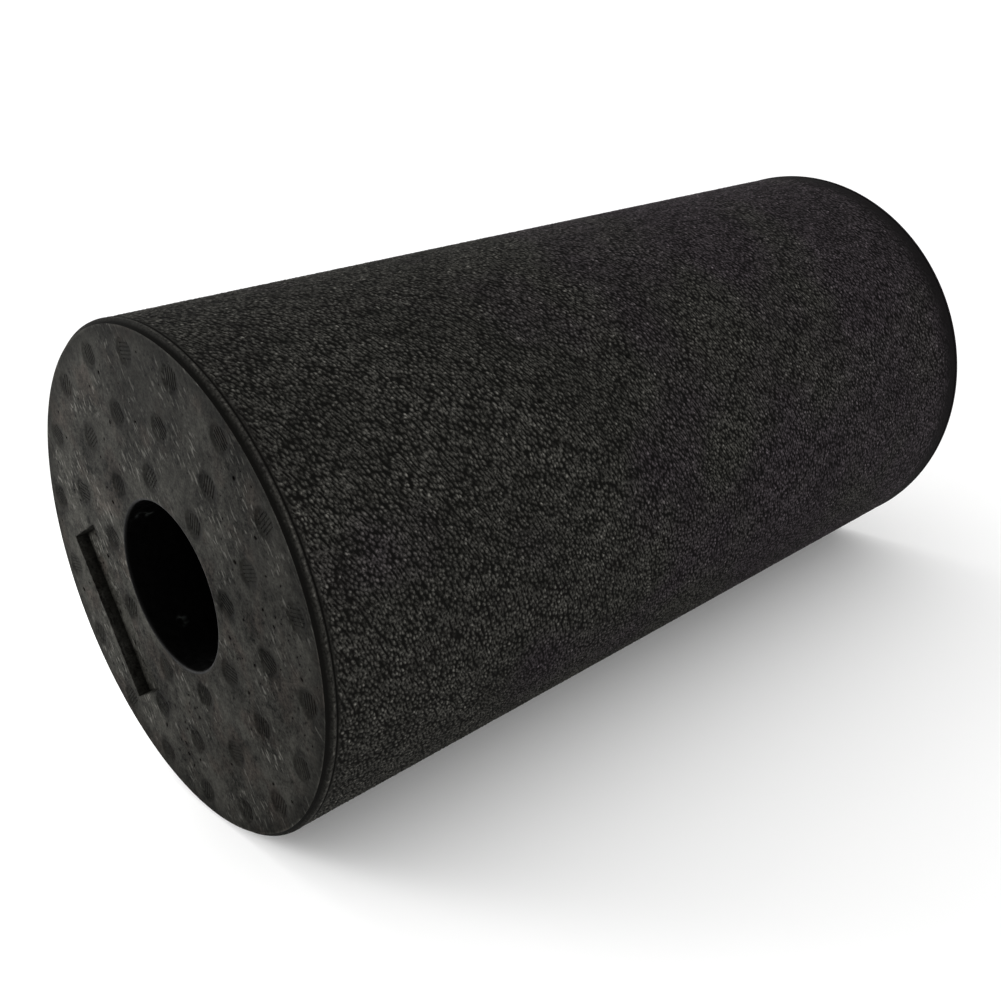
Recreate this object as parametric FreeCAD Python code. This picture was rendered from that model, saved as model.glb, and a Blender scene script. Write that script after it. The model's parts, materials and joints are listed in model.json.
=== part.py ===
import FreeCAD, Part

import math
import os

# A foam roller: one thick-walled cylinder of moulded bead foam with a straight bore through it.
# The roller lies on its side. X runs along its axis, +Z is up, and the origin is the middle of
# the bore. All sizes are in millimetres, and all angles are in degrees.

# Overall sizes
LENGTH = 300.0
DIAMETER = 150.0
BORE_DIAMETER = 50.0

# The mouth of the bore at each end, and the outer corner, where the end plate of the mould
# stepped into its barrel and left a small hollow all the way round.
BORE_EDGE_RADIUS = 0.8
CORNER_COVE_RADIUS = 1.35

# The fine line on the side where the end plate and the barrel of the mould met.
PARTING_LINE_FROM_END = 3.0
PARTING_LINE_WIDTH = 0.5
PARTING_LINE_DEPTH = 0.3

# The shallow oblong field sunk into one end. Its long sides lie across the radius. The lands are
# the foam left between it and the bore, the rim, and the rim at its two outer corners.
RECESS_DEPTH = 3.7
RECESS_ANGLE = -26.7
RECESS_BORE_LAND = 12.0
RECESS_RIM_LAND = 18.25
RECESS_CORNER_LAND = 12.0

# The round marks of the steam vents: three rings on each end, with a land to the bore inside the
# first ring and to the rim outside the last one. The pitch is from mark to mark along a ring.
VENT_DIAMETER = 8.0
VENT_DEPTH = 0.3
VENT_BORE_LAND = 3.5
VENT_RIM_LAND = 2.65
VENT_PITCH = 23.4
VENT_FIRST_ANGLES = (12.0, 21.0, 10.0)
VENT_RECESS_CLEARANCE = 0.4

# Worked out from the sizes above
END_X = LENGTH / 2
OUTER_RADIUS = DIAMETER / 2
BORE_RADIUS = BORE_DIAMETER / 2
RIM_RADIUS = OUTER_RADIUS - CORNER_COVE_RADIUS
VENT_RADIUS = VENT_DIAMETER / 2

AXIS = FreeCAD.Vector(1, 0, 0)
CENTRE = FreeCAD.Vector(0, 0, 0)


def outline_point(x, radius):
    """A point of the outline that is turned about the X axis."""
    return FreeCAD.Vector(x, 0, radius)


def outline_arc(start, centre, end, bulge):
    """A quarter circle from start to end. bulge is the way, in X and radius, to its middle."""
    radius = start.distanceToPoint(centre)
    middle = centre + outline_point(*bulge).normalize() * radius
    return Part.Arc(start, middle, end).toShape()


def end_outline(side):
    """The outline of one end, from the bore wall to the far side of its parting line.

    side is 1 at the +X end and -1 at the -X end.
    """
    end = side * END_X
    bore_start = outline_point(end - side * BORE_EDGE_RADIUS, BORE_RADIUS)
    bore_end = outline_point(end, BORE_RADIUS + BORE_EDGE_RADIUS)
    bore_centre = outline_point(bore_start.x, bore_end.z)
    cove_start = outline_point(end, RIM_RADIUS)
    cove_end = outline_point(end - side * CORNER_COVE_RADIUS, OUTER_RADIUS)
    cove_centre = outline_point(end, OUTER_RADIUS)
    line_x = end - side * PARTING_LINE_FROM_END
    line_near = outline_point(line_x + side * PARTING_LINE_WIDTH / 2, OUTER_RADIUS)
    line_bottom = outline_point(line_x, OUTER_RADIUS - PARTING_LINE_DEPTH)
    line_far = outline_point(line_x - side * PARTING_LINE_WIDTH / 2, OUTER_RADIUS)
    edges = [
        outline_arc(bore_start, bore_centre, bore_end, (side, -1)),
        Part.makeLine(bore_end, cove_start),
        outline_arc(cove_start, cove_centre, cove_end, (-side, -1)),
        Part.makeLine(cove_end, line_near),
        Part.makeLine(line_near, line_bottom),
        Part.makeLine(line_bottom, line_far),
    ]
    return edges, bore_start, line_far


def plain_roller():
    """The turned body with its bore, corner coves and parting lines."""
    near_edges, near_bore, near_side = end_outline(-1)
    far_edges, far_bore, far_side = end_outline(1)
    bore_wall = Part.makeLine(near_bore, far_bore)
    side_wall = Part.makeLine(near_side, far_side)
    edges = near_edges + far_edges + [bore_wall, side_wall]
    wire = Part.Wire(Part.__sortEdges__(edges))
    return Part.makeSolid(Part.Face(wire).revolve(CENTRE, AXIS, 360))


def recess_box():
    """Inner radius, outer radius and half length of the recess, with its middle on +Y."""
    inner = BORE_RADIUS + RECESS_BORE_LAND
    outer = RIM_RADIUS - RECESS_RIM_LAND
    corner = RIM_RADIUS - RECESS_CORNER_LAND
    return inner, outer, math.sqrt(corner**2 - outer**2)


def recess():
    """The solid that the recess takes out of the -X end."""
    inner, outer, half_length = recess_box()
    corner = FreeCAD.Vector(-END_X - RECESS_DEPTH, inner, -half_length)
    solid = Part.makeBox(2 * RECESS_DEPTH, outer - inner, 2 * half_length, corner)
    solid.rotate(CENTRE, AXIS, RECESS_ANGLE)
    return solid


def ring_radii():
    """The radii of the three rings of vent marks."""
    first = BORE_RADIUS + VENT_BORE_LAND + VENT_RADIUS
    last = RIM_RADIUS - VENT_RIM_LAND - VENT_RADIUS
    return first, (first + last) / 2, last


def ring_angles(radius, first_angle):
    """Evenly spaced angles round a ring, as near to the pitch as a whole number of marks goes."""
    count = round(2 * math.pi * radius / VENT_PITCH)
    return [first_angle + 360 * i / count for i in range(count)]


def clear_of_recess(radius, angle):
    """The angle of a mark on the end with the recess, or None if the recess takes its place.

    A mark that would meet the recess between its two ends is left out. One that would meet it
    past an end slides away along its ring until it clears that end.
    """
    inner, outer, half_length = recess_box()
    turn = (angle - RECESS_ANGLE + 180) % 360 - 180
    along = radius * math.sin(math.radians(turn))
    across = radius * math.cos(math.radians(turn))
    past_side = max(inner - across, across - outer, 0)
    past_end = max(abs(along) - half_length, 0)
    keep = VENT_RADIUS + VENT_RECESS_CLEARANCE
    if math.hypot(past_side, past_end) >= keep:
        return angle
    if past_end == 0:
        return None
    clear_turn = math.degrees(math.asin((half_length + keep) / radius))
    return RECESS_ANGLE + math.copysign(clear_turn, turn)


def vent_mark(end, radius, angle):
    """The disc that one vent mark takes out of the end at x = end."""
    middle = FreeCAD.Vector(end - VENT_DEPTH, radius, 0)
    disc = Part.makeCylinder(VENT_RADIUS, 2 * VENT_DEPTH, middle, AXIS)
    disc.rotate(CENTRE, AXIS, angle)
    return disc


def vent_marks():
    """All the vent marks of both ends."""
    marks = []
    for radius, first_angle in zip(ring_radii(), VENT_FIRST_ANGLES):
        for angle in ring_angles(radius, first_angle):
            marks.append(vent_mark(END_X, radius, angle))
            near_angle = clear_of_recess(radius, angle)
            if near_angle is not None:
                marks.append(vent_mark(-END_X, radius, near_angle))
    return marks


def foam_body():
    """The whole roller, which is one moulding."""
    return plain_roller().cut([recess()] + vent_marks())


os.makedirs("parts", exist_ok=True)
body = foam_body()
body.exportStep("parts/foam_body.step")
print("foam_body: solids", len(body.Solids), "volume mm3", round(body.Volume))
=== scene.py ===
# %% [markdown]
# # A bead-foam massage roller
# The object is one thick-walled cylinder of black expanded polypropylene, 300 mm long and 150 mm
# across, with a 50 mm bore right through it. Small foam beads are blown into a closed mould and
# welded together with steam, so everything you see on it is a mark of that mould: the pebble
# grain on the side, the rings of vent marks on the ends, the fine line where the mould parted.
#
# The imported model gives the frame, which is fixed. This lesson only adds the looks around it.

# %% Load the frame
import json
import math

import bpy
import numpy as np
from mathutils import Matrix, Vector
from mathutils.geometry import delaunay_2d_cdt


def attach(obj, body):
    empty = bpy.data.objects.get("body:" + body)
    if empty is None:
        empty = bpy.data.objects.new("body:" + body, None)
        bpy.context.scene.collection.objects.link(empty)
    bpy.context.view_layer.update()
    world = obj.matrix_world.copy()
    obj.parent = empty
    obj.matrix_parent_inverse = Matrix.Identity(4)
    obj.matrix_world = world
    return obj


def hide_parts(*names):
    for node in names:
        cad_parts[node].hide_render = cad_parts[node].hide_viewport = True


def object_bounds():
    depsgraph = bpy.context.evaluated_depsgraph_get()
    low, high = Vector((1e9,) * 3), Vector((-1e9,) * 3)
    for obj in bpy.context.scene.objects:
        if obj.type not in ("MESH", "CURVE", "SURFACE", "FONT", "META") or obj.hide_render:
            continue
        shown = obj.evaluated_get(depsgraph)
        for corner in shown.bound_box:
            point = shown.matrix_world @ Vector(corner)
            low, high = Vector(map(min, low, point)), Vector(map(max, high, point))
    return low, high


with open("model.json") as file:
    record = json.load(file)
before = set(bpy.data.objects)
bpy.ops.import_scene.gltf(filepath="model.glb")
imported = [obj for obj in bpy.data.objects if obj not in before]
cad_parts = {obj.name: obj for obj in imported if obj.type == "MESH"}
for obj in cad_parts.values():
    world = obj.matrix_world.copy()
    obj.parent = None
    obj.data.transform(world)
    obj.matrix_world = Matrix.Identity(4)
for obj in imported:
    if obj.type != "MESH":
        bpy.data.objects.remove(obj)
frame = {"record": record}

CAD_BOX = [list(corner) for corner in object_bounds()]
print("frame box in metres:", CAD_BOX)

# %% [markdown]
# ## Sizes that come with the frame
# The mounts in the record say where the two flat ends are and how wide the bore is, so those
# sizes are read and not typed again. Lengths in this file are in millimetres until a mesh is
# written, because that is how a foam mould is drawn.

# %% Read the sizes
MM = 0.001
mounts = {mount["name"]: mount for mount in frame["record"]["mounts"]}
END_X = mounts["plain_end"]["pos_m"][0] / MM
OUTER_RADIUS = max(CAD_BOX[1][1:]) / MM
BORE_RADIUS = mounts["core_bore"]["dims"]["r_mm"]
BORE_EDGE = END_X - mounts["core_bore"]["dims"]["length_mm"] / 2
print("half length", END_X, "outer radius", OUTER_RADIUS, "bore", BORE_RADIUS, BORE_EDGE)

# %% [markdown]
# ## The camera
# A small object looks large when the lens is close, and its near end swells. This camera stands
# only 0.4 m away, to the left of the roller and a little above it, and is tipped slightly, as a
# hand-held one would be. The view is built from three angles. The last two values say how far
# the middle of the roller lies from the middle of the view, to the right and up.

# %% Place the camera
VIEW_AZIMUTH = math.radians(-41.25)
VIEW_ELEVATION = math.radians(20.97)
VIEW_ROLL = math.radians(-4.43)
VIEW_DISTANCE = 416.3
VIEW_OFFSET = (18.0, 20.0)
LENS = 42.09


def view_axes(azimuth, elevation, roll):
    """The camera's right, up and backward directions."""
    back = Vector((math.sin(azimuth) * math.cos(elevation),
                   -math.cos(azimuth) * math.cos(elevation),
                   math.sin(elevation)))
    level = Vector((math.cos(azimuth), math.sin(azimuth), 0))
    upright = back.cross(level)
    right = level * math.cos(roll) + upright * math.sin(roll)
    up = upright * math.cos(roll) - level * math.sin(roll)
    return right, up, back


right, up, back = view_axes(VIEW_AZIMUTH, VIEW_ELEVATION, VIEW_ROLL)
camera = bpy.data.objects.new("camera", bpy.data.cameras.new("camera"))
bpy.context.collection.objects.link(camera)
place = back * VIEW_DISTANCE - right * VIEW_OFFSET[0] - up * VIEW_OFFSET[1]
camera.matrix_world = Matrix.Translation(place * MM) @ Matrix((right, up, back)).transposed().to_4x4()
camera.data.lens = LENS
camera.data.sensor_width = 36
camera.data.clip_start = 0.01
camera.data.clip_end = 50
bpy.context.scene.camera = camera
print("camera at", [round(v, 3) for v in camera.location])

# %% [markdown]
# ## Chance that never changes
# Foam is full of small accidents, but a lesson has to give the same result every time. A hash
# turns a pair of whole numbers into a number from 0 to 1 that looks random and never changes.
# Waves with a whole number of turns round the roller make slow drifts that close on themselves.

# %% Steady chance numbers and smooth steps
def steady(i, j, salt):
    """A chance number from 0 to 1 for every pair of whole numbers."""
    n = (np.asarray(i, np.int64) * 374761393 + np.asarray(j, np.int64) * 668265263) & 0xFFFFFFFF
    n = (n + salt * 97531) & 0xFFFFFFFF
    n = ((n ^ (n >> 13)) * 1274126177) & 0xFFFFFFFF
    return ((n ^ (n >> 16)) & 0xFFFF) / 0xFFFF


def smooth_step(low, high, value):
    """0 below low, 1 above high, and a smooth rise between them."""
    t = np.clip((value - low) / (high - low), 0, 1)
    return t * t * (3 - 2 * t)


def slow_waves(angle, along, salt, waves=6, turns=9, length=60.0):
    """A smooth drift between about -1 and 1 over the side, which closes round the roller."""
    total = np.zeros(np.broadcast(angle, along).shape)
    for k in range(waves):
        round_count = 1 + int(steady(k, 0, salt) * turns)
        along_rate = (steady(k, 1, salt) - 0.5) * 4 * math.pi / length
        start = steady(k, 2, salt) * 2 * math.pi
        total += np.sin(round_count * angle + along_rate * along + start)
    return total / math.sqrt(waves)


print("steady numbers:", steady(np.arange(4), 0, 1).round(3))

# %% [markdown]
# ## Cells
# Pebbles and foam beads are the same kind of pattern: middles set out in loose rows, with every
# place belonging to the nearest one. Complex numbers make it short: a place is one number, a row
# step is another, and a sixty-degree turn is a third. On the side, the rows wind round like a
# screw thread, so the step is chosen to meet itself again after one whole turn. The cells can
# also be longer than they are wide: the second row step then leans less than sixty degrees.

# %% Cells in loose rows
SIXTY = complex(0.5, math.sqrt(0.75))


def closing_step(pitch, row_angle, turn, lean):
    """The row step nearest to a pitch and angle that fits a turn, and its counts along two rows."""
    wanted = turn / (pitch * complex(math.cos(row_angle), math.sin(row_angle)))
    second = round(wanted.imag / lean.imag)
    first = round(wanted.real - second * lean.real)
    return turn / (first + second * lean), (first, second)


def cells(here, step, jitter, salt, turn=None, counts=(0, 0), lean=SIXTY):
    """The gaps to the nearest two cell middles, and a chance number for the nearest cell."""
    squash = lean.imag / SIXTY.imag
    b = (here / step).imag / lean.imag
    a = (here / step).real - b * lean.real
    nearest = np.full(here.shape, np.inf)
    second = np.full(here.shape, np.inf)
    chance = np.zeros(here.shape)
    for di in (-1, 0, 1):
        for dj in (-1, 0, 1):
            i, j = np.rint(a) + di, np.rint(b) + dj
            middle = (i + j * lean) * step
            if turn:
                laps = np.floor(middle.real / turn + 0.0001)
                i, j = i - laps * counts[0], j - laps * counts[1]
            shift = complex(-0.5, -0.5) + steady(i, j, salt) + 1j * steady(i, j, salt + 1)
            apart = (here - middle) / step - shift * jitter
            gap = np.abs(apart.real * squash + 1j * apart.imag) * abs(step)
            nearer = gap < nearest
            chance = np.where(nearer, steady(i, j, salt + 2), chance)
            second = np.where(nearer, nearest, np.minimum(second, gap))
            nearest = np.minimum(nearest, gap)
    return nearest, second, chance


PEBBLE_LENGTH, PEBBLE_WIDTH = 1.8, 1.05
PEBBLE_LEAN = complex(0.5, SIXTY.imag * PEBBLE_WIDTH / PEBBLE_LENGTH)
PEBBLE_ROW_ANGLE = math.radians(23)
TURN = 2 * math.pi * OUTER_RADIUS
pebble_step, pebble_counts = closing_step(PEBBLE_LENGTH, PEBBLE_ROW_ANGLE, TURN, PEBBLE_LEAN)
print("pebble step", np.round(abs(pebble_step), 4), "mm, counts round the side", pebble_counts)

# %% [markdown]
# ## The grain of the side
# The barrel of the mould is etched with small pits, and each pit leaves a rounded pebble on the
# foam. They stand about a third of a millimetre high. A bump map could fake them, but then the
# outline of the roller would stay perfectly smooth, so here each pebble is real: the radius of
# the surface rises and falls with the cells. The rows wander, and no two pebbles are as high.
# In places the pebbles of a row run together into a short ridge, because the pits of the mould
# were cut along a slanting line. A wave that peaks on every row draws those ridges.

# %% Height of the pebbles
PEBBLE_HEIGHT = 0.34
PEBBLE_REACH = 0.62 * PEBBLE_WIDTH
PEBBLE_GAP = 0.35 * PEBBLE_WIDTH
ROW_WANDER, RIPPLE_WANDER = 1.3, 0.18
ROW_MERGE = 0.80
PEBBLE_JITTER = 0.68


def wander(angle, along, salt, **size):
    """A slow drift in both directions, as complex numbers."""
    return slow_waves(angle, along, salt, **size) + 1j * slow_waves(angle, along, salt + 2, **size)


def pebble_relief(angle, along):
    """From 0 in the creases to 1 on the tallest pebbles, over the unrolled side."""
    here = angle * OUTER_RADIUS + 1j * along + ROW_WANDER * wander(angle, along, 3)
    here = here + RIPPLE_WANDER * wander(angle, along, 7, turns=60, length=9)
    nearest, second, chance = cells(here, pebble_step, PEBBLE_JITTER, 11, TURN, pebble_counts, PEBBLE_LEAN)
    dome = np.clip(1 - (nearest / PEBBLE_REACH) ** 2, 0, 1)
    crease = smooth_step(0, PEBBLE_GAP, second - nearest)
    pebble = dome * (0.55 + 0.45 * crease) * (0.62 + 0.38 * chance)
    row = (here / pebble_step).imag / PEBBLE_LEAN.imag
    ridge = (0.5 + 0.5 * np.cos(2 * math.pi * row)) ** 2
    merged = ROW_MERGE * smooth_step(-1.5, 1.2, slow_waves(angle, along, 17, turns=60, length=8))
    return np.maximum(pebble, merged * ridge)


sample = pebble_relief(np.linspace(0, 1, 400)[:, None], np.linspace(0, 60, 400)[None, :])
print("pebble relief: mean %.2f, most %.2f" % (sample.mean(), sample.max()))

# %% [markdown]
# ## The profile of the side near an end
# The end plate of the mould slides into its barrel. Where they meet, the foam shows from the end
# inwards: a small hollow at the corner, a soft ridge, a hairline, and a plain margin before the
# grain begins. One function gives how deep the surface lies below the full radius. It also gives
# how pale each place is painted: pebble tops and the ridge are painted paler, as painted highlight
# with a little wear on the tops, and the creases, the hairline and the pits darker, as painted shade.

# %% Depth of the side below the full radius
CORNER_COVE = 1.35
RIM_RADIUS = OUTER_RADIUS - CORNER_COVE
MARGIN_DROP = 0.14
RIDGE_AT, RIDGE_WIDTH = 1.95, 0.5
PARTING_AT, PARTING_DEPTH, PARTING_WIDTH = 2.8, 0.26, 0.2
GRAIN_FADE, GRAIN_FADE_FAR = (2.9, 4.3), (4.0, 16.0)
GRAIN_EDGE_WANDER = 0.35
MARGIN_FADE = (0.2, 1.7)
MARGIN_TONE, MARGIN_TONE_FAR, RIDGE_SHEEN_TONE, PARTING_SHADE_TONE = 0.40, 0.18, 0.22, -0.8
PIT_DEPTH, PIT_RADIUS = 0.9, 0.85
PITS = ((-24.0, 142.5), (-63.0, 145.8), (37.0, 30.0), (96.0, 250.0), (-110.0, 300.0), (12.0, 205.0))


def pits(angle, along):
    """From 0 to 1 at the bottom of the few small pits, where two beads didn't quite meet."""
    total = np.zeros(np.broadcast(angle, along).shape)
    for pit_along, pit_angle in PITS:
        around = (angle - math.radians(pit_angle) + math.pi) % (2 * math.pi) - math.pi
        total += np.exp(-((OUTER_RADIUS * around) ** 2 + (along - pit_along) ** 2) / PIT_RADIUS**2)
    return total


def hump(value, middle, width):
    """1 at a middle value, and a smooth fall to 0 on both sides."""
    return np.exp(-(((value - middle) / width) ** 2))


def side_depth(angle, along):
    """The depth below the full radius, and how pale each place is painted, as painted highlight and shade.
    """
    from_end = END_X - np.abs(along)
    cove = np.sqrt(np.clip(CORNER_COVE**2 - from_end**2, 0, None))
    ridge = MARGIN_DROP * (1 - hump(from_end, RIDGE_AT, RIDGE_WIDTH))
    line = PARTING_DEPTH * hump(from_end, PARTING_AT, PARTING_WIDTH)
    plain = np.maximum(cove, ridge + line)
    edge = from_end + GRAIN_EDGE_WANDER * slow_waves(angle, along, 13, turns=60)
    grained = np.where(along < 0, smooth_step(*GRAIN_FADE, edge), smooth_step(*GRAIN_FADE_FAR, edge))
    relief = pebble_relief(angle, along)
    pit = pits(angle, along)
    depth = plain * (1 - grained) + PEBBLE_HEIGHT * (1 - relief) * grained + PIT_DEPTH * pit
    # The plain margin is paler at the near end than at the far one. The ridge is painted paler, as a
    # painted sheen, and the hairline darker, as painted shade.
    margin = np.where(along < 0, MARGIN_TONE, MARGIN_TONE_FAR) * smooth_step(*MARGIN_FADE, from_end)
    margin = margin + RIDGE_SHEEN_TONE * hump(from_end, RIDGE_AT, 0.4)
    margin = margin * (1 + PARTING_SHADE_TONE * hump(from_end, PARTING_AT, 0.3))
    # Pebble tops are painted pale, as painted highlight with a little wear; creases and pits are painted
    # dark, as painted shade.
    return depth, (relief * grained + margin * (1 - grained)) * (1 - pit)


rim_profile = side_depth(np.zeros(5), -END_X + np.array([0, RIDGE_AT, PARTING_AT, 10, 20]))[0]
print("depth at the corner, ridge, hairline and grain:", rim_profile.round(2))


# %% [markdown]
# A grid of points is the simplest mesh for a turned shape. Its rows run round the roller. They
# lie close together over the corner and the hairline, and then keep an even step that puts at
# least three points across each pebble.

# %% The side as rows of points
ROUND_POINTS = 1500
SIDE_STEP = 0.32
FINE_STEP = 0.13
FINE_UNTIL = 3.9


def from_end_stations(cove, fine_until, fine_step):
    """Distances from an end for the close rows: over the cove by angle, then evenly."""
    over_cove = cove * np.sin(np.linspace(0, math.pi / 2, 7))
    beyond = np.arange(cove + fine_step, fine_until, fine_step)
    return np.concatenate([over_cove, beyond])


close_rows = from_end_stations(CORNER_COVE, FINE_UNTIL, FINE_STEP)
middle_count = int(2 * (END_X - FINE_UNTIL) / SIDE_STEP) + 1
middle_rows = np.linspace(-END_X + FINE_UNTIL, END_X - FINE_UNTIL, middle_count)
side_x = np.concatenate([-END_X + close_rows, middle_rows, (END_X - close_rows)[::-1]])
round_angle = np.arange(ROUND_POINTS) * 2 * math.pi / ROUND_POINTS
depth, side_highlight_and_shade = side_depth(round_angle[None, :], side_x[:, None])


def turned_points(x, radius, angle):
    """Points of a turned grid, row by row."""
    x = np.broadcast_to(x[:, None], radius.shape)
    return np.stack([x, radius * np.cos(angle), radius * np.sin(angle)], -1).reshape(-1, 3)


side_points = turned_points(side_x, OUTER_RADIUS - depth, round_angle[None, :])
print("side:", len(side_x), "rows,", len(side_points), "points")

# %% [markdown]
# ## The wall of the bore
# A steel core makes the bore, and it is smooth, so the beads print through as flat patches with
# thin creases between them. The mouth is rounded a little where the core met the end plate.

# %% The bore as rows of points
BORE_POINTS = 240
BORE_STEP = 0.8
BEAD_PITCH = 3.6
BORE_CREASE = 0.16
bore_turn = 2 * math.pi * BORE_RADIUS
bore_bead_step, bore_bead_counts = closing_step(BEAD_PITCH, 0.3, bore_turn, SIXTY)


def bead_crease(nearest, second, width):
    """1 in the crease between two beads and 0 on their flats."""
    return 1 - smooth_step(0, width, second - nearest)


def bore_depth(angle, along):
    """How far the wall lies outside the bore's radius, and the crease there."""
    here = angle * BORE_RADIUS + 1j * along
    nearest, second, chance = cells(here, bore_bead_step, 0.7, 31, bore_turn, bore_bead_counts)
    crease = bead_crease(nearest, second, 0.9)
    inside = smooth_step(BORE_EDGE, BORE_EDGE + 2, END_X - np.abs(along))
    return inside * (BORE_CREASE * crease + 0.05 * chance), crease * inside


edge_turn = np.linspace(0, math.pi / 2, 6)
edge_x = BORE_EDGE * (1 - np.cos(edge_turn))
edge_radius = BORE_RADIUS + BORE_EDGE * (1 - np.sin(edge_turn))
wall_count = int(2 * (END_X - BORE_EDGE) / BORE_STEP)
wall_x = np.linspace(-END_X + BORE_EDGE, END_X - BORE_EDGE, wall_count)[1:-1]
bore_x = np.concatenate([-END_X + edge_x, wall_x, (END_X - edge_x)[::-1]])
plain_radius = np.concatenate([edge_radius, np.full(len(wall_x), BORE_RADIUS), edge_radius[::-1]])
bore_angle = np.arange(BORE_POINTS) * 2 * math.pi / BORE_POINTS
depth, bore_crease = bore_depth(bore_angle[None, :], bore_x[:, None])
bore_points = turned_points(bore_x, plain_radius[:, None] + depth, bore_angle[None, :])
print("bore:", len(bore_x), "rows,", len(bore_points), "points")

# %% [markdown]
# ## Drawing an end face
# The ends carry many small shapes with crisp edges: vent discs with slots, pin holes, and on one
# end an oblong recess. A regular grid would blur those edges. So an end is drawn like a
# sketch: closed outlines with a depth, plus loose points between them. A constrained Delaunay
# triangulation then joins all the points and keeps every outline as real edges.

# %% A sketch of outlines and loose points
class Sketch:
    """Points of an end face with a depth for each, and the edges that have to stay."""

    def __init__(self):
        self.places, self.depths, self.edges, self.marks = [], [], [], []
        self.count = 0

    def outline(self, places, depth, mark=0.0):
        """Adds a closed outline of complex places at one depth."""
        first = self.count
        self.loose(places, np.full(len(places), float(depth)), mark)
        ring = first + np.arange(len(places))
        self.edges.append(np.stack([ring, np.roll(ring, -1)], 1))

    def loose(self, places, depths, mark=0.0):
        """Adds loose points with their own depths."""
        self.places.append(np.asarray(places))
        self.depths.append(np.broadcast_to(depths, len(places)).astype(float))
        self.marks.append(np.broadcast_to(mark, len(places)).astype(float))
        self.count += len(places)


def circle(radius, count):
    """A circle of complex places about zero, starting on the first axis."""
    return radius * np.exp(1j * np.arange(count) * 2 * math.pi / count)


def slot(half_length, half_width, count=6):
    """A slot with round ends, lying along the first axis."""
    bend = np.linspace(-math.pi / 2, math.pi / 2, count)
    straight = half_length - half_width
    run = np.arange(-straight + 0.35, straight - 0.2, 0.35)
    right_end = straight + half_width * np.exp(1j * bend)
    return np.concatenate([right_end, run[::-1] + 1j * half_width, -right_end, run - 1j * half_width])


print("a slot 6 mm long has", len(slot(3, 0.2)), "outline points")


# %% [markdown]
# ## Vent marks
# Steam enters the mould through slotted vents, 8 mm across, set in rings. Each leaves a disc just
# below the face, with a few thin slots in it. A toolmaker presses the vents in at any angle, so
# each disc gets its own turn. Marks that would meet the recess slide along their ring, as on
# the solid underneath.

# %% Where the vent marks and the recess are
VENT_RADIUS = 4.0
VENT_DEPTH = 0.3
VENT_WALL = 0.45
VENT_BORE_LAND, VENT_RIM_LAND = 3.5, 2.65
VENT_PITCH = 23.4
VENT_FIRST_ANGLES = (12.0, 21.0, 10.0)
VENT_RECESS_CLEARANCE = 0.4
RECESS_DEPTH = 3.7
RECESS_ANGLE = -26.7
RECESS_INNER = BORE_RADIUS + 12.0
RECESS_OUTER = RIM_RADIUS - 18.25
RECESS_HALF = math.sqrt((RIM_RADIUS - 12.0) ** 2 - RECESS_OUTER**2)
RECESS_DRAFT = 0.3
FOOT_ROUGHNESS = 0.28


def clear_of_recess(radius, angle):
    """A mark's angle once it has made room for the recess, or None if it can't."""
    turn = (angle - RECESS_ANGLE + 180) % 360 - 180
    along = radius * math.sin(math.radians(turn))
    across = radius * math.cos(math.radians(turn))
    past_side = max(RECESS_INNER - across, across - RECESS_OUTER, 0)
    past_end = max(abs(along) - RECESS_HALF, 0)
    keep = VENT_RADIUS + VENT_RECESS_CLEARANCE
    if math.hypot(past_side, past_end) >= keep:
        return angle
    if past_end == 0:
        return None
    return RECESS_ANGLE + math.copysign(math.degrees(math.asin((RECESS_HALF + keep) / radius)), turn)


def vent_places(with_recess):
    """The middles of an end's vent marks as complex places."""
    first = BORE_RADIUS + VENT_BORE_LAND + VENT_RADIUS
    last = RIM_RADIUS - VENT_RIM_LAND - VENT_RADIUS
    found = []
    for radius, start in zip((first, (first + last) / 2, last), VENT_FIRST_ANGLES):
        count = round(2 * math.pi * radius / VENT_PITCH)
        angles = [start + 360 * k / count for k in range(count)]
        if with_recess:
            angles = [a for a in (clear_of_recess(radius, b) for b in angles) if a is not None]
        found += [radius * np.exp(1j * math.radians(a)) for a in angles]
    return found


print("vent marks on the recess end:", len(vent_places(True)))
print("vent marks on the plain end:", len(vent_places(False)))

# %% [markdown]
# ## How dark each shape is
# Every point of a sketch also carries a mark, from 0 for plain skin to 1 for the darkest shape.
# A disc is darker than the skin round it. Its slots are darker still, most of all at their floors, as
# painted shade in the narrow slots.

# %% Draw one vent mark
SLOTS = (-2, -1, 0, 1, 2)
SLOT_PITCH = 1.05
SLOT_HALF_WIDTH = 0.21
SLOT_DEPTH = 0.45
SLOT_END_LAND = 0.9
SLOT_DRAFT = 0.1
VENT_EDGE_MARK, VENT_DISC_MARK, VENT_FLOOR_MARK = 0.72, 0.7, 0.66
# The slots are darker than the disc and darkest at their floors: painted shade in the narrow slots.
SLOT_EDGE_MARK, SLOT_FLOOR_MARK = 0.78, 0.88


def draw_vent(sketch, middle, turn):
    """A sunk disc with slots across it."""
    sketch.outline(middle + circle(VENT_RADIUS, 48), 0, VENT_EDGE_MARK)
    sketch.outline(middle + circle(VENT_RADIUS - VENT_WALL, 48), VENT_DEPTH, VENT_DISC_MARK)
    spin = np.exp(1j * turn)
    for k in SLOTS:
        offset = k * SLOT_PITCH
        half = math.sqrt((VENT_RADIUS - SLOT_END_LAND) ** 2 - offset**2)
        edge = slot(half, SLOT_HALF_WIDTH) + 1j * offset
        sketch.outline(middle + spin * edge, VENT_DEPTH, SLOT_EDGE_MARK)
        floor = slot(half - SLOT_DRAFT, SLOT_HALF_WIDTH - SLOT_DRAFT) + 1j * offset
        sketch.outline(middle + spin * floor, SLOT_DEPTH, SLOT_FLOOR_MARK)


trial = Sketch()
draw_vent(trial, 0, 0)
print("one vent mark:", len(trial.edges), "outlines,", trial.count, "points")


# %% [markdown]
# ## Pin holes
# Where three beads meet and the weld is short, the skin has a small dark hole. There are many on
# the ends and they come in clusters. Each is drawn as two rings, so it has a steep wall.

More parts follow.
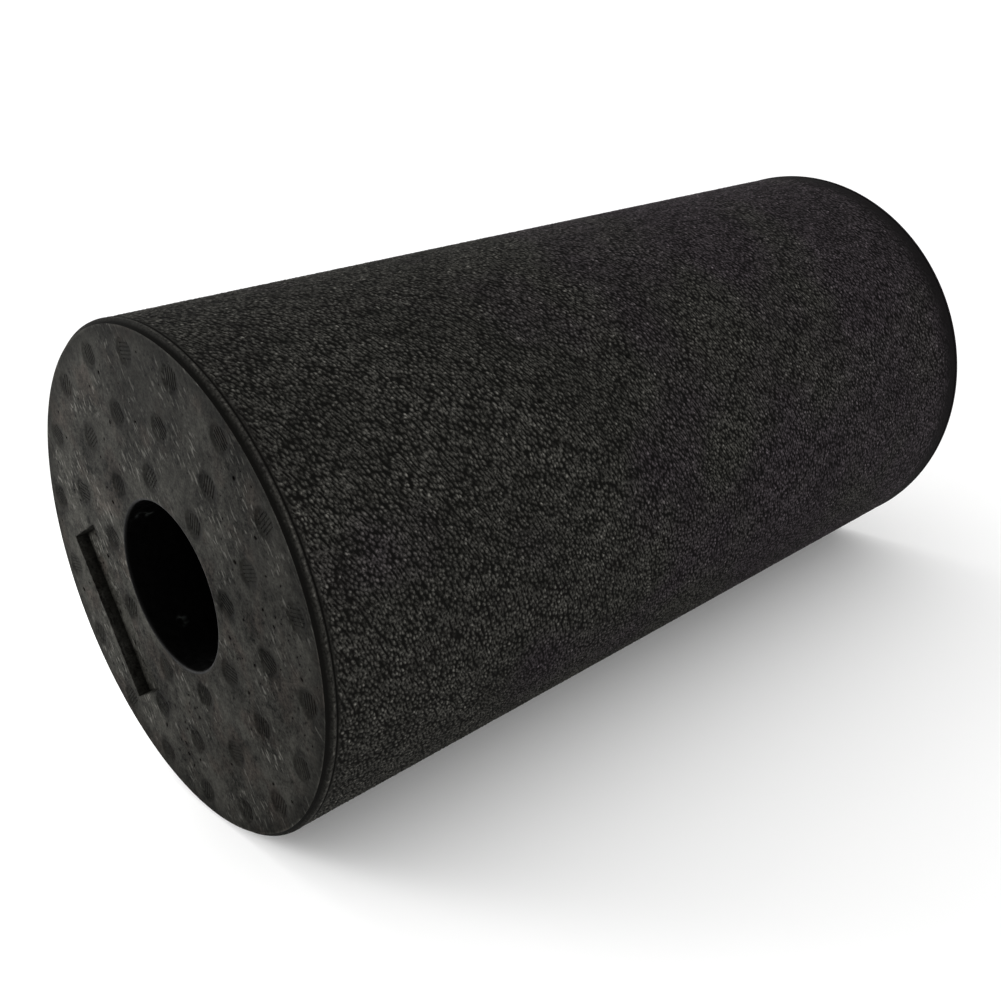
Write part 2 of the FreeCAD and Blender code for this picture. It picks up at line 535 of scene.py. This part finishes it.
# %% Scatter the pin holes
HOLE_COUNT = 170
HOLE_RADII = (0.22, 0.75)
HOLE_DEPTHS = (0.5, 1.3)
HOLE_GAP = 0.8
# Each pin hole is painted darker towards its floor, as painted shade in the hole.
HOLE_EDGE_MARK, HOLE_FLOOR_MARK = 0.6, 1.0
CLUSTER_COUNT, CLUSTER_SPREAD, CLUSTER_SHARE = 14, 5, 0.55


def hole_places(vents, with_recess, seed):
    """Places and radii of pin holes that keep clear of every other outline."""
    chance = np.random.default_rng(seed)
    clusters = 30 + 40 * chance.random(CLUSTER_COUNT)
    clusters = clusters * np.exp(2j * math.pi * chance.random(CLUSTER_COUNT))
    found = []
    while len(found) < HOLE_COUNT:
        loose = (30 + 40 * math.sqrt(chance.random())) * np.exp(2j * math.pi * chance.random())
        middle = clusters[chance.integers(CLUSTER_COUNT)]
        bunched = middle + CLUSTER_SPREAD * complex(*chance.normal(size=2))
        place = bunched if chance.random() < CLUSTER_SHARE else loose
        radius = HOLE_RADII[0] + (HOLE_RADII[1] - HOLE_RADII[0]) * chance.random() ** 3
        spare = radius + HOLE_GAP
        if not BORE_RADIUS + BORE_EDGE + spare < abs(place) < RIM_RADIUS - spare:
            continue
        if min(abs(place - v) for v in vents) < VENT_RADIUS + spare:
            continue
        if any(abs(place - p) < spare + r for p, r in found):
            continue
        if with_recess and near_recess_edge(place, spare):
            continue
        found.append((place, radius))
    return found


def recess_frame(place):
    """A place seen from the recess: across it from the bore outwards, and along it."""
    turned = place * np.exp(-1j * math.radians(RECESS_ANGLE))
    return turned.real, turned.imag


def past_recess(place):
    """How far outside the recess a place is, negative inside it."""
    across, along = recess_frame(place)
    middle = (RECESS_INNER + RECESS_OUTER) / 2
    half = (RECESS_OUTER - RECESS_INNER) / 2
    return np.maximum(np.abs(across - middle) - half, np.abs(along) - RECESS_HALF)


def near_recess_edge(place, spare):
    """True for a place within a spare distance of the recess's outline."""
    return abs(past_recess(place)) < spare


print("pin holes on the plain end:", len(hole_places(vent_places(False), False, 82)))


# %% [markdown]
# ## The skin of an end
# The end plate is plain, so the beads show as faint flats, 3 to 4 mm across, each at a slightly
# different level, with shallow creases between them. The skin fades out at the rim and the mouth,
# so that it meets the side and the bore without a step.

# %% Depth of the skin
SKIN_CREASE, SKIN_FLAT = 0.07, 0.035
SKIN_STEP = 0.55


def skin_depth(place, salt):
    """The shallow depth of the skin at any place on an end."""
    wander = 1.2 * np.exp(1j * (place.real * 0.21 + 2 * np.sin(place.imag * 0.17)))
    nearest, second, chance = cells(place + wander, complex(BEAD_PITCH, 0), 0.75, salt)
    crease = bead_crease(nearest, second, 1.0)
    radius = np.abs(place)
    fade = smooth_step(BORE_RADIUS + BORE_EDGE, BORE_RADIUS + BORE_EDGE + 1.5, radius)
    fade = fade * (1 - smooth_step(RIM_RADIUS - 1.5, RIM_RADIUS, radius))
    return fade * (SKIN_CREASE * crease + SKIN_FLAT * chance)


def recess_outline(inset, spacing=0.6):
    """The oblong outline of the recess, moved inwards by an inset."""
    inner, outer, half = RECESS_INNER + inset, RECESS_OUTER - inset, RECESS_HALF - inset
    corners = [complex(inner, -half), complex(outer, -half), complex(outer, half), complex(inner, half)]
    runs = []
    for a, b in zip(corners, corners[1:] + corners[:1]):
        runs.append(a + (b - a) * np.arange(0, 1, spacing / abs(b - a)))
    return np.concatenate(runs) * np.exp(1j * math.radians(RECESS_ANGLE))


def loose_grid(step):
    """Staggered points over a whole end, each moved a little by chance."""
    count = int(2 * RIM_RADIUS / step) + 2
    i, j = np.meshgrid(np.arange(count), np.arange(int(count / SIXTY.imag)))
    places = (i + 0.5 * (j % 2) - count / 2) * step + 1j * (j - count / SIXTY.imag / 2) * step * SIXTY.imag
    shift = steady(i, j, 41) - 0.5 + 1j * (steady(i, j, 42) - 0.5)
    return (places + 0.25 * step * shift).ravel()


def square_of(places, size):
    """The row and column of the square that each place falls in."""
    return tuple(((part + OUTER_RADIUS) / size).astype(int) + 1 for part in (places.real, places.imag))


def far_from(outlines, places, size):
    """The places with no outline point in their own square or in the eight round it."""
    count = int(2 * OUTER_RADIUS / size) + 4
    taken = np.zeros((count, count), bool)
    row, column = square_of(outlines, size)
    for down in (-1, 0, 1):
        for across in (-1, 0, 1):
            taken[row + down, column + across] = True
    return places[~taken[square_of(places, size)]]


print("loose points over an end:", len(loose_grid(SKIN_STEP)))

# %% [markdown]
# ## Drawing a whole end
# The rim and the mouth come first, because they are shared with the side and the bore. Then come
# the vents, the pin holes and the recess, and loose points fill what is left. The points round a
# vent and in a band near the rim are made darker, and so are a few soft patches. A dark patch
# has a place, a spread and a strength.

# %% Draw a whole end
# The recess walls are painted dark, darkest at their foot, as painted shade on the walls.
RECESS_EDGE_MARK, RECESS_FOOT_MARK = 0.4, 1.0
VENT_HALO, VENT_HALO_MARK = 2.6, 0.45
RIM_DARK_BAND, RIM_DARK_BAND_MARK = 9, 0.75
DARK_PATCHES = ((-6 + 56j, 24, 0.50), (-50 + 20j, 16, 0.25), (-20 - 52j, 18, 0.2))


def draw_end(with_recess, seed):
    """A sketch of one end. The rim and the bore mouth are its first two outlines."""
    sketch = Sketch()
    sketch.outline(circle(RIM_RADIUS, ROUND_POINTS), 0)
    sketch.outline(circle(BORE_RADIUS + BORE_EDGE, BORE_POINTS), 0)
    vents = vent_places(with_recess)
    chance = np.random.default_rng(seed)
    for middle in vents:
        draw_vent(sketch, middle, chance.random() * math.pi)
    holes = hole_places(vents, with_recess, seed + 1)
    for place, radius in holes:
        depth = HOLE_DEPTHS[0] + (HOLE_DEPTHS[1] - HOLE_DEPTHS[0]) * chance.random()
        floor = RECESS_DEPTH if with_recess and past_recess(place) < 0 else 0
        squeeze = 0.55 + 0.45 * chance.random()
        ring = circle(radius, 12) * np.exp(1j * chance.random() * math.pi)
        ring = (ring.real + 1j * ring.imag * squeeze) * np.exp(1j * chance.random() * math.pi)
        # The rings of a pin hole carry painted shade, darkest at the floor.
        sketch.outline(place + ring, floor, HOLE_EDGE_MARK)
        sketch.outline(place + 0.6 * ring, floor + depth, HOLE_FLOOR_MARK)
    if with_recess:
        # The recess outlines carry painted shade on the walls, darkest at the foot.
        sketch.outline(recess_outline(0), 0, RECESS_EDGE_MARK)
        foot = recess_outline(RECESS_DRAFT)
        across, along = chance.random(len(foot)) - 0.5, chance.random(len(foot)) - 0.5
        foot = foot + FOOT_ROUGHNESS * (across + 1j * along)
        sketch.outline(foot, RECESS_DEPTH, RECESS_FOOT_MARK)
    grid = loose_grid(SKIN_STEP)
    radius = np.abs(grid)
    grid = grid[(radius > BORE_RADIUS + BORE_EDGE + 0.3) & (radius < RIM_RADIUS - 0.3)]
    grid = far_from(np.concatenate(sketch.places), grid, 0.28)
    gap = np.min([np.abs(grid - v) for v in vents], axis=0)
    disc = gap < VENT_RADIUS
    darkening = VENT_HALO_MARK * (1 - smooth_step(VENT_RADIUS, VENT_RADIUS + VENT_HALO, gap))
    rim_darkening = RIM_DARK_BAND_MARK * smooth_step(RIM_RADIUS - RIM_DARK_BAND, RIM_RADIUS, np.abs(grid))
    darkening = np.maximum(darkening, rim_darkening)
    for place, spread, strength in DARK_PATCHES:
        darkening = np.maximum(darkening, strength * hump(np.abs(grid - place), 0, spread))
    depths = np.where(disc, VENT_DEPTH, 0.0)
    if with_recess:
        depths = np.where(past_recess(grid) < 0, RECESS_DEPTH, depths)
    in_slot = inside_slots(grid, vents, seed)
    sketch.loose(grid[~in_slot], depths[~in_slot], np.where(disc, VENT_FLOOR_MARK, darkening)[~in_slot])
    return sketch


def inside_slots(places, vents, seed):
    """Which loose places fall inside a vent's slot, where only the outlines count."""
    chance = np.random.default_rng(seed)
    found = np.zeros(len(places), bool)
    for middle in vents:
        local = (places - middle) * np.exp(-1j * chance.random() * math.pi)
        row = np.abs(local.imag / SLOT_PITCH - np.rint(local.imag / SLOT_PITCH)) * SLOT_PITCH
        found |= (np.abs(local) < VENT_RADIUS - 0.5) & (row < SLOT_HALF_WIDTH + 0.05)
    return found


ends = {-1: draw_end(True, 71), 1: draw_end(False, 81)}
print("sketch points:", {side: sketch.count for side, sketch in ends.items()})

# %% [markdown]
# ## From sketches to one closed mesh
# The rim outline of a sketch has the same points as the first row of the side, and the mouth
# outline the same as the first row of the bore. Those points are used once only, so the four
# surfaces join into one closed skin, like the real moulding, with no open edge anywhere.

# %% Join the sketches to the rows
def triangulate(sketch):
    """Joins a sketch's points into triangles and drops those over the bore."""
    places = np.concatenate(sketch.places)
    edges = np.concatenate(sketch.edges).tolist()
    flat = [Vector((p.real, p.imag)) for p in places]
    found, _, faces, origin, _, _ = delaunay_2d_cdt(flat, edges, [], 0, 1e-7)
    origin = np.array([ids[0] for ids in origin])
    triangles = origin[np.array(faces)]
    middles = np.abs(places[triangles].mean(1))
    kept = triangles[middles > (BORE_RADIUS + BORE_EDGE) * math.cos(math.pi / BORE_POINTS)]
    assert len(found) == len(places), "an outline crosses another"
    return kept


def grid_faces(rows, columns, first):
    """The quads of a grid that closes round its columns."""
    i, j = np.meshgrid(np.arange(rows - 1), np.arange(columns), indexing="ij")
    after = (j + 1) % columns
    corners = [i * columns + j, i * columns + after, (i + 1) * columns + after, (i + 1) * columns + j]
    return first + np.stack(corners, -1).reshape(-1, 4)


bore_first = len(side_points)
points = [side_points, bore_points]
highlight_and_shade_values = [side_highlight_and_shade.ravel(), np.zeros(len(bore_points))]
marks = [np.zeros(len(side_points)), bore_crease.ravel()]
side_faces = grid_faces(len(side_x), ROUND_POINTS, 0)
bore_faces = grid_faces(len(bore_x), BORE_POINTS, bore_first)[:, ::-1]
end_faces = {}
total = bore_first + len(bore_points)
for side, sketch in ends.items():
    places = np.concatenate(sketch.places)
    depths = np.concatenate(sketch.depths) + skin_depth(places, 51 + side)
    row_side = 0 if side < 0 else (len(side_x) - 1) * ROUND_POINTS
    row_bore = bore_first + (0 if side < 0 else (len(bore_x) - 1) * BORE_POINTS)
    shared = ROUND_POINTS + BORE_POINTS
    index = np.concatenate([row_side + np.arange(ROUND_POINTS), row_bore + np.arange(BORE_POINTS),
                            total + np.arange(sketch.count - shared)])
    own = slice(shared, None)
    points.append(np.stack([side * (END_X - depths[own]), places[own].real, places[own].imag], 1))
    highlight_and_shade_values.append(np.zeros(sketch.count - shared))
    marks.append(np.concatenate(sketch.marks)[own])
    triangles = index[triangulate(sketch)]
    end_faces[side] = triangles if side > 0 else triangles[:, ::-1]
    total += sketch.count - shared
points = np.concatenate(points)
print("points", len(points), "side", len(side_faces), "bore", len(bore_faces),
      "ends", {side: len(faces) for side, faces in end_faces.items()})

# %% Write the mesh
def write_mesh(name, points, groups):
    """A mesh from points in millimetres and groups of faces, one material number per group."""
    mesh = bpy.data.meshes.new(name)
    corners = np.concatenate([group.ravel() for group in groups])
    sizes = np.concatenate([np.full(len(group), group.shape[1]) for group in groups])
    mesh.vertices.add(len(points))
    mesh.vertices.foreach_set("co", (points * MM).ravel())
    mesh.loops.add(len(corners))
    mesh.loops.foreach_set("vertex_index", corners.astype(np.int32))
    mesh.polygons.add(len(sizes))
    mesh.polygons.foreach_set("loop_start", np.concatenate([[0], np.cumsum(sizes)[:-1]]).astype(np.int32))
    mesh.polygons.foreach_set("loop_total", sizes.astype(np.int32))
    numbers = np.concatenate([np.full(len(group), k) for k, group in enumerate(groups)])
    mesh.polygons.foreach_set("material_index", numbers.astype(np.int32))
    mesh.update(calc_edges=True)
    return mesh


groups = [side_faces, end_faces[-1], end_faces[1], bore_faces]
mesh = write_mesh("foam_roller", points, groups)
SHARP_ANGLE = math.radians(50)
mesh.polygons.foreach_set("use_smooth", np.ones(len(mesh.polygons), bool))
mesh.set_sharp_from_angle(angle=SHARP_ANGLE)
# The grain attribute holds the side's painted highlight and shade: pale pebble tops and ridge, dark
# creases, hairline and pits.
for name, values in (("grain", highlight_and_shade_values), ("mark", marks)):
    layer = mesh.attributes.new(name, "FLOAT", "POINT")
    layer.data.foreach_set("value", np.concatenate(values).astype(np.float32))
roller = bpy.data.objects.new("foam_roller", mesh)
bpy.context.collection.objects.link(roller)
print("mesh:", len(mesh.vertices), "points,", len(mesh.polygons), "faces, invalid:", mesh.validate())

# %% [markdown]
# ## A map for baking
# Baking the node finishes into pictures needs a flat map. Blender can lay one out by itself, but
# not well on a million points. A roller unrolls easily: the side is a rectangle, the two ends are
# discs above it, and the bore lies beside them. The recess floor is drawn a little smaller on the
# map, which gives its steep walls room.

# %% Unroll the roller
MAP_SIDE = 620.0
MAP_GAP = 3.0
RECESS_MAP_INSET = 3.0


def unroll_grid(rows_at, columns, radius):
    """Map places of a turned grid's corners, face by face: round it, then along it."""
    i, j = np.meshgrid(np.arange(len(rows_at) - 1), np.arange(columns), indexing="ij")
    across = 2 * math.pi * radius / columns
    near, far = rows_at[i] + END_X, rows_at[i + 1] + END_X
    corners = [(j * across, near), ((j + 1) * across, near), ((j + 1) * across, far), (j * across, far)]
    return np.stack([np.stack(corner, -1) for corner in corners], -2).reshape(-1, 4, 2)


def flat_end(side):
    """Map places of an end's points, with the recess floor drawn smaller."""
    places = points[:, 1] + 1j * points[:, 2]
    if side > 0:
        return places
    across, along = recess_frame(places)
    middle = (RECESS_INNER + RECESS_OUTER) / 2
    inside = (END_X + points[:, 0] > RECESS_DEPTH / 2) & (past_recess(places) < 0)
    across_scale = 1 - RECESS_MAP_INSET / (RECESS_OUTER - middle)
    along_scale = 1 - RECESS_MAP_INSET / RECESS_HALF
    shrunk = middle + (across - middle) * across_scale + 1j * along * along_scale
    return np.where(inside, shrunk * np.exp(1j * math.radians(RECESS_ANGLE)), places)


def map_corners():
    """Map places for every face corner of the mesh, in the order of its groups."""
    side_map = unroll_grid(side_x, ROUND_POINTS, OUTER_RADIUS) + MAP_GAP
    row = 2 * MAP_GAP + 2 * END_X + RIM_RADIUS
    discs = []
    for k, side in enumerate((-1, 1)):
        flat = flat_end(side)[end_faces[side]]
        column = MAP_GAP + RIM_RADIUS + k * (2 * RIM_RADIUS + MAP_GAP)
        discs.append(np.stack([flat.real + column, flat.imag + row], -1))
    bore_map = unroll_grid(bore_x, BORE_POINTS, BORE_RADIUS)[:, ::-1, ::-1]
    corner = np.array([3 * MAP_GAP + 4 * RIM_RADIUS, 2 * MAP_GAP + 2 * END_X])
    return np.concatenate([m.reshape(-1, 2) for m in (side_map, *discs, bore_map + corner)])


bake_map = mesh.uv_layers.new(name="OFBake")
bake_map.uv.foreach_set("vector", (map_corners() / MAP_SIDE).astype(np.float32).ravel())
print("map corners:", len(mesh.loops))

# %% [markdown]
# ## Shader maths as Python
# A finish is a small program made of nodes. Wiring it by hand hides the sums, so one class wraps
# an output socket and gives it Python's operators. `1 - mask` then adds a Math node by itself.
# Every other kind of node comes from one method, which takes the settings first and the values
# or links of its sockets after them.

# %% The socket wrapper and the finish
class Wire:
    """One output socket that can be used in a sum."""

    def __init__(self, socket):
        self.socket = socket

    def sum(self, operation, first, second):
        """A Math node on two numbers or wires."""
        node = self.socket.id_data.nodes.new("ShaderNodeMath")
        node.operation = operation
        for slot_number, value in enumerate((first, second)):
            if isinstance(value, Wire):
                self.socket.id_data.links.new(value.socket, node.inputs[slot_number])
            else:
                node.inputs[slot_number].default_value = value
        return Wire(node.outputs[0])

    def __add__(self, other):
        return self.sum("ADD", self, other)

    def __radd__(self, other):
        return self.sum("ADD", other, self)

    def __sub__(self, other):
        return self.sum("SUBTRACT", self, other)

    def __rsub__(self, other):
        return self.sum("SUBTRACT", other, self)

    def __mul__(self, other):
        return self.sum("MULTIPLY", self, other)

    def __rmul__(self, other):
        return self.sum("MULTIPLY", other, self)


class Finish:
    """A material whose nodes are added one call at a time."""

    def __init__(self, name):
        self.material = bpy.data.materials.new(name)
        self.material.use_nodes = True
        self.tree = self.material.node_tree
        self.tree.nodes.clear()

    def node(self, kind, settings=None, output=0, **sockets):
        """Adds a node: its settings first, then its sockets' values or links."""
        node = self.tree.nodes.new(kind)
        for setting, value in (settings or {}).items():
            setattr(node, setting, value)
        for key, value in sockets.items():
            socket = self.socket_of(node, key)
            if isinstance(value, Wire):
                self.tree.links.new(value.socket, socket)
            else:
                socket.default_value = value
        return Wire(node.outputs[output]) if node.outputs else None

    @staticmethod
    def socket_of(node, key):
        """An input by its name, written with underscores, or by its number after an s."""
        if key[0] == "s" and key[1:].isdigit():
            return node.inputs[int(key[1:])]
        return node.inputs[key.replace("_", " ")]


print("operators that Wire knows: + - *")

# %% [markdown]
# ## Black foam
# Carbon black colours the beads right through, so the colour hardly varies. What the eye reads
# is gloss: the skin of each bead is a little shinier where the mould pressed it flat, and duller
# in the creases. Every finish below shares one starting point, a place in millimetres.

# %% Parts that every foam finish shares
def place_in_mm(finish):
    """The place on the roller in millimetres, as a vector."""
    place = finish.node("ShaderNodeTexCoord", output=3)
    return finish.node("ShaderNodeVectorMath", {"operation": "SCALE"}, Vector=place, Scale=1 / MM)


def noise(finish, place, size, detail=2.0, roughness=0.5):
    """Noise from 0 to 1 with patches about this many millimetres across."""
    return finish.node("ShaderNodeTexNoise", Vector=place, Scale=1 / size, Detail=detail,
                       Roughness=roughness)


def remap(finish, value, zero_at, one_at):
    """A straight rise from 0 to 1 between two values. The second may be the lower one."""
    return finish.node("ShaderNodeMapRange", {"clamp": True}, Value=value, From_Min=zero_at,
                       From_Max=one_at, To_Min=0.0, To_Max=1.0)


def tint(finish, factor, dark, light):
    """A colour between two, by a factor."""
    return finish.node("ShaderNodeMix", {"data_type": "RGBA"}, output=2, Factor=factor, s6=dark, s7=light)


def stored(finish, name):
    """A number that the mesh holds for each point."""
    return finish.node("ShaderNodeAttribute", {"attribute_name": name}, output=2)


def bumped(finish, height, distance, normal=None):
    """A bump of a height field, in millimetres."""
    sockets = {"Height": height, "Distance": distance * MM, "Strength": 1.0}
    if normal:
        sockets["Normal"] = normal
    return finish.node("ShaderNodeBump", **sockets)


def foam_surface(finish, colour, gloss, normal, specular):
    """Ends a finish in the foam's surface: dark and rough, with the gloss of a plastic skin."""
    shader = finish.node("ShaderNodeBsdfPrincipled", Base_Color=colour, Roughness=gloss, Normal=normal,
                         IOR=1.5, Specular_IOR_Level=specular)
    finish.node("ShaderNodeOutputMaterial", Surface=shader)
    return finish.material


print("one millimetre is", MM, "metres in a shader too")

# %% [markdown]
# ## The grained side
# The pebbles are in the mesh already. The finish adds what is smaller: their tops are painted
# paler, as painted highlight with a little wear, and are a little glossier, a few of them carry a
# painted glint, the creases are painted near black, as painted shade, and stay dull, and every
# pebble has a fine tooth of its own. The black drifts slowly from place to place.
# It is warm near the recess end and turns a little violet towards the other, as dyed foam does.

# %% Finish of the grained side
# The dark colour is the painted shade of the creases; the light colours are the painted highlight of the
# pebble tops, with a little wear.
SIDE_DARK = (0.0004, 0.0004, 0.0003, 1)
SIDE_LIGHT = (0.174, 0.169, 0.151, 1)
SIDE_COOL = (0.174, 0.148, 0.163, 1)


def grained_side():
    """The finish of the pebbled side."""
    finish = Finish("grained_side")
    place = place_in_mm(finish)
    # The grain attribute carries the painted highlight of the tops and the painted shade of the creases.
    grain = stored(finish, "grain")
    patches = noise(finish, place, 24, detail=3)
    speckle = noise(finish, place, 0.75, detail=2, roughness=0.6)
    # A painted glint on a few pebble tops.
    glint = remap(finish, noise(finish, place, 1.5, detail=1), 0.64, 0.74)
    top = remap(finish, grain, 0.16, 1.0)
    # The tops are painted paler, as painted highlight with a little wear, and the creases darker, as
    # painted shade.
    tops_highlight_and_wear = top * (0.28 + 0.72 * top)
    speckle_and_glint = 0.12 + 1.0 * remap(finish, speckle, 0.34, 0.70) + 0.9 * glint
    shade = tops_highlight_and_wear * speckle_and_glint * (0.5 + 0.8 * patches)
    along = finish.node("ShaderNodeSeparateXYZ", Vector=place)
    warmth = remap(finish, noise(finish, place, 45) - 0.0016 * along, 0.34, 0.56)
    light = tint(finish, warmth, SIDE_COOL, SIDE_LIGHT)
    colour = tint(finish, remap(finish, shade, -0.03, 1.3), SIDE_DARK, light)
    gloss = 0.74 - 0.16 * tops_highlight_and_wear + 0.10 * patches
    tooth = noise(finish, place, 0.28, detail=2, roughness=0.6)
    return foam_surface(finish, colour, gloss, bumped(finish, tooth, 0.06), 0.025)


side_finish = grained_side()
print("side finish:", len(side_finish.node_tree.nodes), "nodes")

# %% [markdown]
# ## The plain ends
# The skin of an end is mottled, and greyer than the side because it is flat and catches more
# light. Noise of three sizes gives the mottle. Noise that is stretched along the recess gives the
# short pale and dark scratches that floors and shelves leave, and a second, larger noise keeps
# them in patches. The mark that the mesh holds for each point darkens the vents, the pin holes,
# the recess walls, the band near the rim and a few soft patches, because a shader can't know where
# those shapes are. In the slots, the pin holes and on the recess walls that darkening is painted shade.

# %% Finish of the ends
END_DARK = (0.0015, 0.0015, 0.0011, 1)
END_LIGHT = (0.0510, 0.0498, 0.0434, 1)
END_WARM = (0.0555, 0.0488, 0.0418, 1)
END_SCRATCH = (0.125, 0.122, 0.110, 1)


def pressed_end():
    """The finish of the two flat ends and the recess."""
    finish = Finish("pressed_end")
    place = place_in_mm(finish)
    mark = stored(finish, "mark")
    patches = noise(finish, place, 14, detail=4, roughness=0.6)
    mottle = noise(finish, place, 2.4, detail=5, roughness=0.7)
    turned = finish.node("ShaderNodeMapping", Vector=place, Rotation=(math.radians(-RECESS_ANGLE), 0, 0))
    slanted = finish.node("ShaderNodeMapping", Vector=turned, Scale=(1, 1, 0.3))
    scratch = noise(finish, slanted, 1.0, detail=1)
    where = remap(finish, noise(finish, place, 12, detail=3), 0.48, 0.62)
    pale = remap(finish, scratch, 0.60, 0.67) * where
    deep = remap(finish, scratch, 0.38, 0.31) * where
    grit = noise(finish, place, 0.7, detail=2, roughness=0.6)
    shade = 0.16 + 1.3 * (patches - 0.5) + 1.5 * (mottle - 0.5) + 1.0 * (grit - 0.5)
    # The mark darkens the vents, the rim band and the dark patches; in the slots, pin holes and recess
    # walls it is painted shade.
    shade = remap(finish, shade, -0.25, 0.95) * (1 - 0.8 * mark)
    warmth = remap(finish, noise(finish, place, 11, detail=1), 0.52, 0.66)
    colour = tint(finish, shade, END_DARK, tint(finish, warmth, END_LIGHT, END_WARM))
    colour = tint(finish, 0.5 * pale * (1 - mark), colour, END_SCRATCH)
    colour = tint(finish, 0.8 * deep, colour, END_DARK)
    gloss = 0.66 + 0.16 * mottle
    fine = noise(finish, place, 0.45, detail=2, roughness=0.6)
    normal = bumped(finish, patches + 0.5 * mottle, 0.02)
    normal = bumped(finish, fine + pale - deep, 0.02, normal=normal)
    return foam_surface(finish, colour, gloss, normal, 0.02)


end_finish = pressed_end()
print("end finish:", len(end_finish.node_tree.nodes), "nodes")

# %% [markdown]
# ## Inside the bore
# The same beads show here, pressed by a polished core, so their flats are the glossiest foam on
# the part. Almost no light gets in, and the wall is painted far darker than the foam of the ends,
# as painted shade, with its creases darker still. A few creases carry a painted glint, and those
# few spots are all that can be made out.

# %% Finish of the bore
# Both wall colours are painted shade, far darker than the foam of the ends; the third colour is a painted
# glint.
BORE_DARK = (0.0004, 0.0004, 0.0004, 1)
BORE_LIGHT = (0.0016, 0.0016, 0.0015, 1)
BORE_GLINT_COLOUR = (0.034, 0.038, 0.036, 1)


def bore_wall():
    """The finish of the bore."""
    finish = Finish("bore_wall")
    place = place_in_mm(finish)
    crease = stored(finish, "mark")
    mottle = noise(finish, place, 3, detail=3)
    # The creases are painted darker still, as painted shade.
    colour = tint(finish, mottle * (1 - crease), BORE_DARK, BORE_LIGHT)
    # A painted glint in a few creases.
    bore_glint_mask = crease * remap(finish, noise(finish, place, 9, detail=1), 0.65, 0.74)
    colour = tint(finish, bore_glint_mask, colour, BORE_GLINT_COLOUR)
    gloss = 0.34 + 0.25 * mottle + 0.3 * crease
    fine = noise(finish, place, 0.9, detail=3)
    return foam_surface(finish, colour, gloss, bumped(finish, fine, 0.08), 0.03)


for material in (side_finish, end_finish, end_finish, bore_wall()):
    mesh.materials.append(material)
print("finishes:", [material.name for material in mesh.materials])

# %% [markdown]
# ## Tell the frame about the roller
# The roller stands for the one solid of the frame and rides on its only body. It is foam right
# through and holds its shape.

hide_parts("foam_body")
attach(roller, "root")
print("roller stands for foam_body")

# %% [markdown]
# ## A plain pale studio
# The floor is a wide white sheet just under the roller, and it glows very slightly, so that it
# stays white far away. A white world lights the foam from all round, which is what makes its edges
# pale where you look along them. A small soft lamp close to the left of the near end makes that
# side of the end face the brighter one, and a large one high behind the roller lifts its top edge.

# %% Floor
def white_floor():
    """A wide pale floor with a faint drift in its tone."""
    finish = Finish("white_floor")
    drift = noise(finish, place_in_mm(finish), 400)
    colour = tint(finish, drift, (0.90, 0.90, 0.895, 1), (0.93, 0.93, 0.93, 1))
    shader = finish.node("ShaderNodeBsdfPrincipled", Base_Color=colour, Roughness=0.8,
                         Specular_IOR_Level=0.1, Emission_Color=colour, Emission_Strength=0.12)
    finish.node("ShaderNodeOutputMaterial", Surface=shader)
    return finish.material


FLOOR_HALF = 4.0
floor_mesh = bpy.data.meshes.new("floor")
floor_mesh.from_pydata([(x, y, -OUTER_RADIUS * MM) for x, y in
                        ((-FLOOR_HALF, -FLOOR_HALF), (FLOOR_HALF, -FLOOR_HALF),
                         (FLOOR_HALF, FLOOR_HALF), (-FLOOR_HALF, FLOOR_HALF))], [], [(0, 1, 2, 3)])
floor_mesh.materials.append(white_floor())
floor = bpy.data.objects.new("floor", floor_mesh)
bpy.context.collection.objects.link(floor)
print("floor at", -OUTER_RADIUS * MM)


# %% Lamps and world
def soft_lamp(name, place, size, watts):
    """A square area lamp that looks at the roller."""
    lamp = bpy.data.objects.new(name, bpy.data.lights.new(name, "AREA"))
    lamp.data.size = size
    lamp.data.energy = watts
    lamp.location = place
    lamp.rotation_mode = "QUATERNION"
    lamp.rotation_quaternion = Vector(place).to_track_quat("Z", "Y")
    bpy.context.collection.objects.link(lamp)
    return lamp


soft_lamp("left_lamp", (-0.30, 0.19, 0.03), 0.12, 0.72)
soft_lamp("back_lamp", (0.1, 1.3, 1.3), 1.0, 2.2)
world = bpy.data.worlds.new("studio")
world.use_nodes = True
world.node_tree.nodes["Background"].inputs["Color"].default_value = (1, 1, 1, 1)
world.node_tree.nodes["Background"].inputs["Strength"].default_value = 1.08
bpy.context.scene.world = world
bpy.context.scene.view_settings.view_transform = "Standard"
